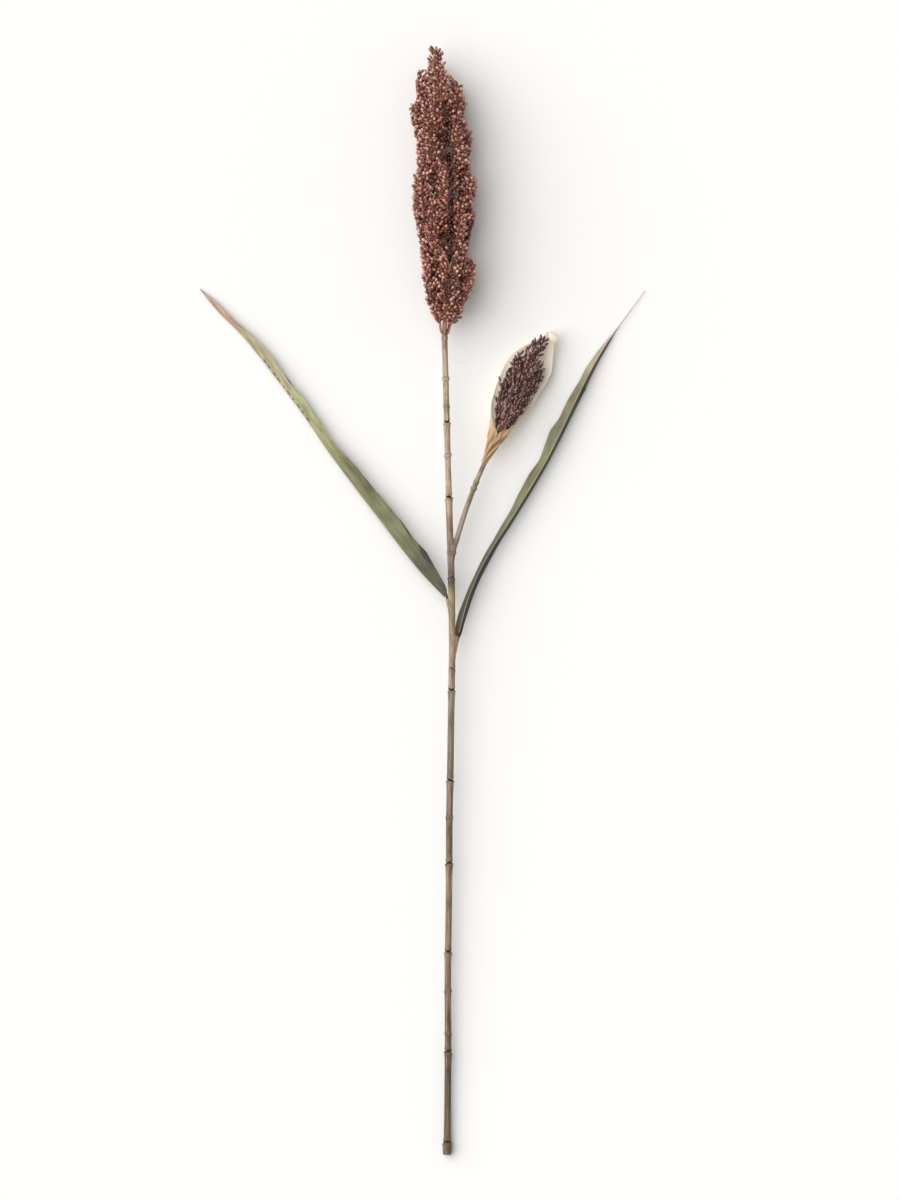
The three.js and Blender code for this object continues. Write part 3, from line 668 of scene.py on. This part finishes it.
def buildHead():
    rachis, _ = spineOf("head_rachis", 12)
    path = curveThrough(np.vstack([rachis[0] - (0, 4, 0), rachis]), 60)  # it grows out of the cane
    radii = np.linspace(2.3, 1.1, 60) + 0.2 * np.sin(np.linspace(0, 34, 60))  # faintly knobbly
    makeRachis("headRachis", path, radii, 14, branchFibre, "head_rachis")
    branches = branchesOn(path, "head_branch_")

    def fromValley(point):  # how far from the furrow, in mm
        x, y = point[:2] - plantStart[:2]
        low, high = head["valleyEnds"]
        return abs(x - np.interp(y, *zip(*head["valley"]))) if low < y < high else math.inf

    def inside(point):
        x, y = point[:2] - plantStart[:2]
        low, high = (np.interp(y + head["rise"], *zip(*head[side])) for side in ("left", "right"))
        cutAway = point[2] > head["valleyFloor"] + head["valleySlope"] * fromValley(point)
        return low + head["inset"] < x < high - head["inset"] and y < head["top"] and not cutAway

    def toneAndPaintedShade(point):  # grains deep in the furrow get the darkest tone, as painted shade
        fresh = random.uniform(*head["tones"])
        return fresh * min(1, 0.1 + (fromValley(point) / head["valleyShade"]) ** 2)

    crowdBranches(branches, head, inside)
    template = turned(grainProfile, 8, 0.05)
    for branch in branches:
        shape = branchShape(branch, head, template, toneAndPaintedShade)
        name = branch.name.replace("head_branch_", "headSpike")
        makePiece(name, shape, [grainCoat, branchFibre], "grain", branch.name)
    print("main head:", sum(len(branch.grains) for branch in branches), "grains")


buildHead()


# Side shoot and small seed head

smallHead = dict(
    grainLength=7.0, grainWidth=3.0, sizes=(0.85, 1.12), spacing=3.3,
    lean=28, loose=0.07,
    fill=(0.6, 0.95), least=1.5, longest=11,
    firstGrain=1.5, step=5.2, sway=0.5,
    layers=[((0, 0.6), 60, 90), ((1.5, 4), 12, 25), ((0.6, 2), 8, 60)],
    bare=0.14, twig=0.6, stalk=(0.85, 0.7, 0.45),
    lift=(-5.5, 11),  # how far below and above its axis the grains may be: the spathe is close behind them
    inset=0.8, top=142,  # from a grain's middle to the outline, and its farthest place from the neck
    # Its outline: how far from the neck, and how far to the side
    left=[(10, -2), (27, -5), (42, -14), (54, -20), (66, -24.5), (90, -27), (102, -24), (111, -20.5), (121, -15),
          (129, -11), (138, -8), (143, -4)],
    right=[(10, 2), (27, 6), (55, 14), (76, 14), (85, 17.5), (100, 17.5), (112, 14), (118, 10), (130, 7.5),
           (138, 6), (143, 4)],
)

shoot = dict(
    sides=28, step=2, radius=[(0, 3.0), (14, 2.9), (50, 2.8), (110, 2.5)],
    nodes=[(720.5, 0.9), (727, 0.8)],  # its swollen joints: height above the cane's cut end, and strength
    shaded=16,  # the length that lies in the shade of the cane, painted on as shade
)


def buildShoot():
    middle, _ = spineOf("side_shoot", 12)
    start = middle[0] + np.array([-3.6, -10.0, 0.0])  # it grows out of the cane
    route = curveThrough(np.vstack([start, middle, middle[-1] + 3 * unit(middle[-1] - middle[-2])]), 400)
    length = lengthOf(route)
    travelled = np.linspace(0, length, 400)
    joints = [(np.interp(y + plantStart[1], route[:, 1], travelled), strength) for y, strength in shoot["nodes"]]
    stations = jointStations(length, shoot["step"], [place for place, _ in joints])
    path = np.stack([np.interp(stations, travelled, route[:, k]) for k in range(3)], axis=1)
    angle = np.linspace(0, 2 * np.pi, shoot["sides"], endpoint=False)
    radius = table(shoot["radius"], stations, 4)[:, None] + np.zeros(shoot["sides"])
    crevice = np.zeros_like(radius)
    for place, strength in joints:
        d = stations[:, None] - place - 0.6 * np.sin(2 * angle + place)
        radius += strength * 0.9 * hump(d, 1.9)
        crevice += strength * 0.6 * hump(d + 2.6, 0.7)
    # painted shade: the cane's shadow on the shoot's side towards it, fading out along its first part
    crevice += 0.4 * np.clip(1 - stations / shoot["shaded"], 0, 1)[:, None] * (np.cos(angle) < -0.2)
    points, faces, fibre = tube(path, radius, shoot["sides"])
    shape = Shape()
    share = np.repeat(stations / length, shoot["sides"])
    shape.add(points, faces, 0, fibre, along=share, crevice=np.clip(crevice, 0, 1).ravel())
    makePiece("sideShoot", shape, [shootStraw], "shoot", "side_shoot")


def smallFrame():  # the foot of the small head, its direction, and across it to the right
    neck, top = spineOf("small_rachis", 6)[0][0], spineOf("small_branch_top", 5)[0][-1]
    ahead = unit(top - neck)
    return neck, ahead, unit(np.cross(ahead, (0, 0, 1)))


def buildSmallHead():
    rachis, _ = spineOf("small_rachis", 8)
    path = curveThrough(rachis, 40)
    makeRachis("smallRachis", path, np.linspace(1.6, 0.8, 40), 12, smallBranchFibre, "small_rachis")
    branches = branchesOn(path, "small_branch_")
    neck, ahead, across = smallFrame()

    def inside(point):
        forward, aside = (point - neck) @ ahead, (point - neck) @ across
        low, high = (np.interp(forward, *zip(*smallHead[side])) for side in ("left", "right"))
        deepest, highest = smallHead["lift"]
        within = low + smallHead["inset"] < aside < high - smallHead["inset"]
        return within and forward < smallHead["top"] and deepest < point[2] - neck[2] < highest

    crowdBranches(branches, smallHead, inside)
    template = turned(youngProfile, 8, 0.04)
    for branch in branches:
        shape = branchShape(branch, smallHead, template, lambda point: random.random())
        name = branch.name.replace("small_branch_", "smallSpike")
        makePiece(name, shape, [smallGrainCoat, smallBranchFibre], "small_grain", branch.name)
    print("small head:", sum(len(branch.grains) for branch in branches), "grains")


buildShoot()
buildSmallHead()


# Spathe

# Tables run along the spathe from 0 at its foot to 1 where its tip starts to roll over.
spathe = dict(
    foot=-10, length=155, thickness=0.45,  # its foot is this far behind the neck
    curl=5.5, curlTurn=230,  # radius and degrees of its rolled tip
    bow=1.5, bowLength=143, tipShift=5.5,  # it bends to the left and its tip to the right
    lap=0.07,  # its left edge reaches this share further round than the right
    pleat=0.35, pleats=11.7, flutter=1.3,  # how deep and how many the pleats are, and how wavy the open rim is
    winding=0.7, windingAt=0.13,  # folds wound round the neck: how deep, and where
    lowest=0.4,  # above the table
    width=[(0, 2.9), (0.08, 4.3), (0.13, 6), (0.2, 9.2), (0.29, 13), (0.37, 17), (0.44, 20), (0.52, 22.4),
           (0.7, 24.4), (0.77, 23.6), (0.83, 19.5), (0.89, 14.5), (0.94, 9.5), (0.97, 6.2), (1.02, 6.4), (1.2, 5)],
    depth=[(0, 2.9), (0.1, 4.7), (0.2, 7.6), (0.3, 9), (0.43, 9.5), (0.6, 9.5), (0.8, 9), (1, 6.5), (1.2, 4)],
    wrap=[(0, 194), (0.19, 190), (0.235, 176), (0.27, 144), (0.34, 106), (0.43, 84), (0.5, 73), (0.6, 64),
          (0.7, 58), (1, 52), (1.2, 50)],
)


def buildSpathe():
    neck, ahead, across = smallFrame()
    length = spathe["length"]
    curlShare = math.radians(spathe["curlTurn"]) * spathe["curl"] / length
    v = np.linspace(0, 1 + curlShare, 190)[:, None]
    s = np.linspace(-1, 1, 73)[None, :]
    width, depth, wrap = (table(spathe[key], v, 0.012) for key in ("width", "depth", "wrap"))
    wrap = np.radians(wrap)
    angle = s * wrap
    half = width / np.sin(np.minimum(wrap, math.pi / 2)) * (1 - spathe["lap"] * s)
    roll = np.maximum(0, (v - 1) * length / spathe["curl"])  # radians that the tip has rolled over
    forward = spathe["foot"] + np.minimum(v, 1) * length + spathe["curl"] * np.sin(roll)
    bottom = -table(spathe["depth"], np.minimum(v, 1), 0.012) + spathe["curl"] * (1 - np.cos(roll))
    rise = depth * (1 - np.cos(angle))
    fade = np.clip(v * 4, 0, 1)
    pleat = spathe["pleat"] * np.sin(spathe["pleats"] * angle + 2 * v) * fade * (0.4 + 0.6 * np.abs(s))
    flutter = spathe["flutter"] * np.clip((v - 0.45) * 3, 0, 1) * s ** 4 * np.sin(26 * v + 2 * s)
    wound = 6 * angle + 52 * v
    twist = spathe["winding"] * hump(v - spathe["windingAt"], 0.1) * np.sin(wound)
    grow = 1 + (pleat + twist) / np.maximum(half, 3)
    bowed = spathe["bow"] * np.sin(np.pi * np.clip(forward / spathe["bowLength"], 0, 1))
    aside = half * np.sin(angle) * grow + spathe["tipShift"] * v ** 4 - bowed
    lift = bottom + (rise * grow + flutter) * np.cos(roll)
    forward = forward - (rise + flutter) * np.sin(roll)
    grid = neck + forward[..., None] * ahead + aside[..., None] * across + lift[..., None] * np.array([0, 0, 1.0])
    grid[..., 2] = np.maximum(grid[..., 2], spathe["lowest"])
    points, faces = sheet(grid, spathe["thickness"])
    margin = np.clip((np.abs(s) - 0.80) / 0.12, 0, 1) * np.clip((0.62 - v) * 6, 0, 1)
    tan = np.clip(np.clip((0.34 - v) / 0.16, 0, 1) + 0.45 * margin + 0.08, 0, 1)  # its foot and lower edges
    # painted shade in the creases of the folds wound round the neck
    fold = 0.9 * np.clip(-np.sin(wound), 0, 1) ** 3 * hump(v - spathe["windingAt"], 0.11)
    fibre = np.stack([aside, rise, np.broadcast_to(v * length, aside.shape)], axis=-1).reshape(-1, 3)
    shape = Shape()
    shape.add(points, faces, 0, np.tile(fibre, (2, 1)), tan=np.tile(tan.ravel(), 2), fold=np.tile(fold.ravel(), 2))
    makePiece("spatheBract", shape, [parchment], "spathe", "spathe")


print("spathe")
buildSpathe()


# Leaves

# Places are measured from the cut end: across, along and height. As in the CAD solid, the two halves are given
# by how far the margin stands out to the right of the keel as seen from above, and how far it rises.
leafLeft = dict(
    node="leaf_left", rows=460, columns=49, thickness=0.42, ridge=False,
    keel=[(-5.4, 603, 22), (-36.6, 636.5, 14.5), (-82.9, 696.3, 8), (-128.8, 757.4, 4.6), (-162.5, 806, 3.2),
          (-217.8, 878.4, 2.6), (-251.2, 913, 2.2), (-270.6, 936.5, 1.4)],
    near=[(0, 2.5), (0.008, 5.8), (0.03, 9.6), (0.06, 14), (0.12, 18.8), (0.17, 16.8), (0.22, 18), (0.3, 16),
          (0.4, 14.2), (0.5, 9.6), (0.62, 10), (0.77, 9.6), (0.88, 5), (0.95, 4.8), (1, 0.8)],
    nearRise=[(0, -0.5), (0.1, -4), (0.3, -4), (0.5, -1.6), (1, -0.5)],
    far=[(0, 2.5), (0.006, 6), (0.012, 8), (0.03, 10.8), (0.05, 12.8), (0.08, 15.4), (0.14, 17.8), (0.19, 15.6),
         (0.235, 17.4), (0.3, 16.8), (0.35, 13.7), (0.395, 15.1), (0.45, 12.2), (0.5, 9.9), (0.55, 11.3),
         (0.58, 10.2), (0.625, 12.2), (0.675, 8.4), (0.735, 11.2), (0.8, 10), (0.875, 5.4), (0.91, 6.2),
         (0.95, 5.8), (1, 0.8)],
    farRise=[(0, 0.5), (0.04, 4), (0.14, 6), (0.19, 8.6), (0.235, 7), (0.3, 7), (0.35, 9.4), (0.4, 7.2), (0.45, 7.8),
             (0.5, 7.4), (0.55, 6.2), (0.58, 7.2), (0.625, 5), (0.675, 8), (0.73, 5.4), (0.8, 5.4), (0.88, 4.4),
             (0.95, 2.4), (1, 0.3)],
    creased=(0.56, 0.76),  # where a broken crease shows as painted shade, as shares of its length
    sliver=(0.075, 0.15),  # where the upper margin curls under, painted dark as its shade
    dim=(0.38, 0.1),  # where its upper half is turned away from the light and painted with shade, and over what share
    bladeEnd=1.0, knot=None,
)
leafRight = dict(
    node="leaf_right", rows=460, columns=49, thickness=0.42, ridge=True,
    keel=[(9.4, 559.6, 21.5), (15.4, 585, 21), (27, 619, 19), (45, 654, 16.8), (67.5, 689, 15), (98.5, 740, 14),
          (117, 775, 14.2), (142, 827, 11.6), (160, 861, 7.6), (177, 887.5, 3.6), (211.6, 935, 1)],
    near=[(0, -3), (0.01, -4.4), (0.03, -5.8), (0.06, -5.8), (0.1, -4.4), (0.16, -3.2), (0.22, -4), (0.26, -3.8),
          (0.3, -5.2), (0.35, -5.7), (0.39, -7.7), (0.45, -9.2), (0.495, -7), (0.55, -10.4), (0.575, -11.5),
          (0.61, -8.2), (0.665, -8.3), (0.72, -5.9), (0.75, -6.4), (0.8, -4.4), (0.85, -1.8), (0.88, -0.7),
          (1, -0.5)],
    nearRise=[(0, -0.5), (0.03, -4.5), (0.06, -6.4), (0.15, -8), (0.3, -9), (0.39, -9.2), (0.45, -9), (0.5, -11),
              (0.575, -8.6), (0.61, -10.8), (0.665, -9.4), (0.72, -9.4), (0.78, -7.2), (0.85, -3), (0.875, -0.5),
              (1, -0.1)],
    far=[(0, 1.6), (0.012, 2.6), (0.05, 3.4), (0.1, 3.9), (0.2, 4.4), (0.3, 3.3), (0.5, 2.9), (0.6, 3.2), (0.7, 4),
         (0.75, 2.9), (0.83, 2.2), (0.87, 0.7), (1, 0.5)],
    farRise=[(0, -0.5), (0.06, -7.6), (0.3, -10), (0.5, -12.2), (0.58, -12.6), (0.68, -11), (0.78, -7.4),
             (0.85, -3.2), (0.875, -0.5), (1, -0.1)],
    creased=None, sliver=None, dim=None,
    bladeEnd=0.885,  # from here to its end it is only a hair
    knot=0.7,  # where a small dark knot hangs at its edge
)

# What both leaves have in common. The foot joins the blade to the cane; the foot, hair and knot are given by radius.
leafForm = dict(
    foot=(1.6, 0.9), footLength=5,
    hair=(0.55, 0.25), hairColour=0.79,  # its colour is the blade's at this share of the length
    knot=(0.6, 1.6, 1.5, 0.6), knotAside=3, knotDrop=2,
    fold=0.08,  # how round the fold is, as a share of the half width
    belly=0.85, sunk=0.25, rib=0.4,  # soft waves, the hollow beside the midrib, and the midrib's extra thickness
    clearance=0.05,  # above the table
)


def buildLeaf(name, leaf, material):
    rows, columns = leaf["rows"], leaf["columns"]
    line = curveThrough(plantStart + np.array(leaf["keel"], float), rows)
    length = lengthOf(line)
    rows = round(rows * leaf["bladeEnd"])
    keel, hair = line[:rows], line[rows - 3:]  # the hair starts inside the blade
    v = np.linspace(0, leaf["bladeEnd"], rows)
    s = np.linspace(-1, 1, columns)
    forward = unit(np.gradient(keel, axis=0))
    level = unit(np.cross(forward, (0, 0, 1)))
    fold = leafForm["fold"]
    rounded = (np.hypot(s, fold) - fold) / (math.hypot(1, fold) - fold)
    soften = np.minimum(0.008, 0.5 * v)
    out, rise = (np.where(s < 0, table(leaf["near" + key], v, soften)[:, None],
                          table(leaf["far" + key], v, soften)[:, None]) for key in ("", "Rise"))
    across, lift = (np.abs(s), rounded) if leaf["ridge"] else (rounded, np.abs(s))
    swell = (np.clip(9 * v, 0, 1) * np.clip(9 * (0.92 - v), 0, 1))[:, None]
    belly = leafForm["belly"] * swell * np.sin(np.pi * np.abs(s)) * np.sin(70 * v[:, None] + 2 * s)
    sunk = -leafForm["sunk"] * hump(np.abs(s) - 0.5, 0.12) * swell
    grid = keel[:, None] + level[:, None] * (out * across)[..., None]
    grid[..., 2] += rise * lift + belly + sunk
    rib = hump(s, 0.07)
    thin = np.clip(np.abs(out) / 3, 0.5, 1)
    midrib = leafForm["rib"] * rib * np.clip(0.9 - v, 0, 1)[:, None]
    thickness = (leaf["thickness"] * (1 - 0.55 * s**2) + midrib) * thin
    grid[..., 2] = np.maximum(grid[..., 2], thickness / 2 + leafForm["clearance"])
    points, faces = sheet(grid, thickness)
    wide = np.hypot(out, rise) * s
    fibre = np.stack([wide, 0 * wide, np.broadcast_to(v[:, None] * length, wide.shape)], axis=-1)
    everyRow = np.ones((rows, 1))
    margin = np.clip((np.abs(s) - 0.9) / 0.08, 0, 1) * (s < 0) * leaf["ridge"]
    midline = rib * (1 - np.clip(s * 20, 0, 1) * leaf["ridge"])
    pale = np.clip(0.5 * midline + 0.55 * margin, 0, 1) * everyRow
    dull = (0.92 * (s > 0.02) if leaf["ridge"] else 0.3 * (s < -0.02)) * everyRow  # painted shade on the half that faces down
    crease = np.zeros_like(wide)
    if leaf["creased"]:
        start, end = leaf["creased"]
        dashes = np.clip(0.6 + 2 * np.sin(v * 310) + 1.5 * np.sin(v * 137), 0, 1) * (v > start) * (v < end)
        crease = 0.95 * hump(wide - 2.6, 0.75) * dashes[:, None]
    if leaf["sliver"]:
        start, end = leaf["sliver"]
        depth = np.clip(1 - ((v - (start + end) / 2) / ((end - start) / 2)) ** 2, 0, 1)[:, None]
        crease = np.maximum(crease, 0.8 * (s > 1 - 0.22 * depth) * (depth > 0))
    # painted shade where the upper half turns from the light
    if leaf["dim"]:
        place, spread = leaf["dim"]
        dim = np.clip(1 - np.abs(v - place) / spread, 0, 1)[:, None] * np.clip((s - 0.4) * 4, 0, 1)
        dull = np.maximum(dull, 0.45 * dim)
    shape = Shape()
    marks = dict(along=np.repeat(v, columns), across=wide.ravel(), pale=pale.ravel(), dull=dull.ravel(),
                 crease=crease.ravel())
    bothSides = {label: np.tile(values, 2) for label, values in marks.items()}
    shape.add(points, faces, 0, np.tile(fibre.reshape(-1, 3), (2, 1)), **bothSides)
    under = level[0] * out[6].mean()  # a short dark foot runs from the cane to under the blade
    start = keel[0] - forward[0] * leafForm["footLength"]
    foot = curveThrough([start, keel[0] + 0.4 * under, keel[6] + 0.8 * under], 12)
    points, faces, fibre = tube(foot, np.linspace(*leafForm["foot"], 12), 10)
    shape.add(points, faces, 1, fibre)
    if leaf["bladeEnd"] < 1:
        points, faces, fibre = tube(hair, np.linspace(*leafForm["hair"], len(hair)), 8)
        shape.add(points, faces, 0, fibre, along=leafForm["hairColour"])
    if leaf["knot"]:
        i = round(leaf["knot"] * len(line))
        knot = line[i:i + 4] + level[i] * leafForm["knotAside"] - (0, 0, leafForm["knotDrop"])
        points, faces, fibre = tube(knot, leafForm["knot"], 10)
        shape.add(points, faces, 1, fibre)
    makePiece(name, shape, [material, footFibre], "leaf", leaf["node"])


print("leaves")
buildLeaf("leftLeafBlade", leafLeft, leafLeftSkin)
buildLeaf("rightLeafBlade", leafRight, leafRightSkin)


# Table, light and camera

stage = dict(
    floorSize=14.0, floorColour="#f5f4f2",  # sizes and places of the table and camera are in metres
    keyStrength=2.9, keySoftness=78, keyFrom=(-0.95, 0.4, 1.15),  # towards the light; softness in degrees
    worldLight=0.42,
    lens=240.0, sensor=36.0, viewHeight=1.297, viewCentre=(0.0297, 0.0, 0.015),
)


def buildStage():
    mesh = bpy.data.meshes.new("table")
    edge = stage["floorSize"] / 2
    mesh.from_pydata([(-edge, -edge, 0), (edge, -edge, 0), (edge, edge, 0), (-edge, edge, 0)], [], [(0, 1, 2, 3)])
    floor = bpy.data.objects.new("table", mesh)
    bpy.context.collection.objects.link(floor)
    # Matt white laminate: plain, with no pattern to draw the eye
    material, _, _ = newMaterial("whiteTable", {"Base Color": fromHex(stage["floorColour"]), "Roughness": 0.9,
                                                "Specular IOR Level": 0.1})
    mesh.materials.append(material)
    world = bpy.data.worlds.new("studio")
    world.use_nodes = True
    background = world.node_tree.nodes["Background"]
    background.inputs["Color"].default_value = (1, 1, 1, 1)
    background.inputs["Strength"].default_value = stage["worldLight"]
    bpy.context.scene.world = world
    light = bpy.data.lights.new("softLight", "SUN")
    light.energy, light.angle = stage["keyStrength"], math.radians(stage["keySoftness"])
    key = bpy.data.objects.new("softLight", light)
    key.rotation_euler = (-Vector(stage["keyFrom"])).to_track_quat("-Z", "Y").to_euler()
    bpy.context.collection.objects.link(key)


def placeCamera():
    data = bpy.data.cameras.new("camera")
    data.lens, data.sensor_width = stage["lens"], stage["sensor"]
    data.clip_end = 50  # metres
    camera = bpy.data.objects.new("camera", data)
    x, y, z = stage["viewCentre"]
    camera.location = (x, y, z + stage["viewHeight"] * stage["lens"] / stage["sensor"])
    bpy.context.collection.objects.link(camera)
    bpy.context.scene.camera = camera


print("table, light and camera")
buildStage()
placeCamera()
bpy.context.scene.view_settings.view_transform = "Standard"
